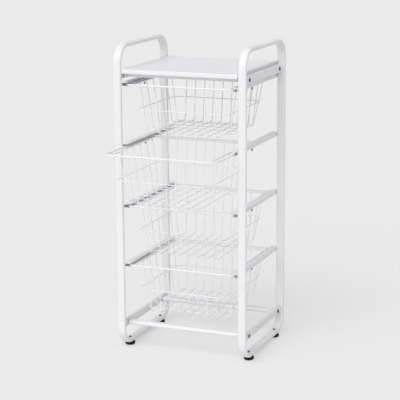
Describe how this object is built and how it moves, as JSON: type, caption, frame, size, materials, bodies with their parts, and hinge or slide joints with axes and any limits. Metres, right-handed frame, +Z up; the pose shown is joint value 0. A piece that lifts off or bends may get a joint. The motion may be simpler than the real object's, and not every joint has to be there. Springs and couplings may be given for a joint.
{
  "type": "bathroom storage tower",
  "caption": "Slim free-standing storage tower: bent tube side loops with handles, a white top board and sliding wire baskets on sheet runners.",
  "frame": {"origin": "on the floor, at the centre of the bounding box with the second basket drawn out", "axes": "+X to the tower's right seen from the front, +Y to the back, +Z up"},
  "size_m": [0.409, 0.4766, 0.905],
  "materials": {
    "frame_paint": "satin white powder coat on steel tube and sheet",
    "basket_paint": "satin white powder coat on steel wire",
    "board_laminate": "smooth white melamine on board",
    "black_plastic": "moulded black plastic plugs and pegs",
    "black_screw": "black coated steel screws",
    "zinc_screw": "zinc-plated steel screws",
    "black_rubber": "moulded black rubber"
  },
  "bodies": {
    "frame": {"left_side_loop": "frame_paint", "right_side_loop": "frame_paint", "left_top_rail": "frame_paint", "right_top_rail": "frame_paint", "left_bottom_rail": "frame_paint", "right_bottom_rail": "frame_paint", "front_top_crossbar": "frame_paint", "rear_top_crossbar": "frame_paint", "front_bottom_crossbar": "frame_paint", "rear_bottom_crossbar": "frame_paint", "crossbar_plugs": "black_plastic", "top_board": "board_laminate", "runner_1_left": "frame_paint", "runner_1_right": "frame_paint", "runner_2_left": "frame_paint", "runner_2_right": "frame_paint", "runner_3_left": "frame_paint", "runner_3_right": "frame_paint", "runner_4_left": "frame_paint", "runner_4_right": "frame_paint", "frame_screws": "black_screw", "board_screws": "zinc_screw", "runner_screws": "zinc_screw", "runner_pegs": "black_plastic", "foot_bolts": "black_screw"},
    "basket_1": {"basket_1_rim": "basket_paint", "basket_1_side_wires": "basket_paint", "basket_1_long_wires": "basket_paint", "basket_1_cross_wires": "basket_paint", "basket_1_ring": "basket_paint"},
    "basket_2": {"basket_2_rim": "basket_paint", "basket_2_side_wires": "basket_paint", "basket_2_long_wires": "basket_paint", "basket_2_cross_wires": "basket_paint", "basket_2_ring": "basket_paint"},
    "basket_3": {"basket_3_rim": "basket_paint", "basket_3_side_wires": "basket_paint", "basket_3_long_wires": "basket_paint", "basket_3_cross_wires": "basket_paint", "basket_3_ring": "basket_paint"},
    "basket_4": {"basket_4_rim": "basket_paint", "basket_4_side_wires": "basket_paint", "basket_4_long_wires": "basket_paint", "basket_4_cross_wires": "basket_paint", "basket_4_ring": "basket_paint"},
    "foot_front_left": {"foot_front_left": "black_rubber"},
    "foot_front_right": {"foot_front_right": "black_rubber"},
    "foot_rear_left": {"foot_rear_left": "black_rubber"},
    "foot_rear_right": {"foot_rear_right": "black_rubber"}
  },
  "joints": [
    {"name": "basket_1_slide", "type": "slide", "parent": "frame", "child": "basket_1", "axis": [0, -1, 0], "range_m": [0, 0.22]},
    {"name": "basket_2_slide", "type": "slide", "parent": "frame", "child": "basket_2", "axis": [0, -1, 0], "range_m": [-0.145, 0.075]},
    {"name": "basket_3_slide", "type": "slide", "parent": "frame", "child": "basket_3", "axis": [0, -1, 0], "range_m": [0, 0.22]},
    {"name": "basket_4_slide", "type": "slide", "parent": "frame", "child": "basket_4", "axis": [0, -1, 0], "range_m": [0, 0.22]},
    {"name": "foot_front_left_screw", "type": "slide", "parent": "frame", "child": "foot_front_left", "axis": [0, 0, -1], "range_m": [0, 0.004]},
    {"name": "foot_front_right_screw", "type": "slide", "parent": "frame", "child": "foot_front_right", "axis": [0, 0, -1], "range_m": [0, 0.004]},
    {"name": "foot_rear_left_screw", "type": "slide", "parent": "frame", "child": "foot_rear_left", "axis": [0, 0, -1], "range_m": [0, 0.004]},
    {"name": "foot_rear_right_screw", "type": "slide", "parent": "frame", "child": "foot_rear_right", "axis": [0, 0, -1], "range_m": [0, 0.004]}
  ]
}
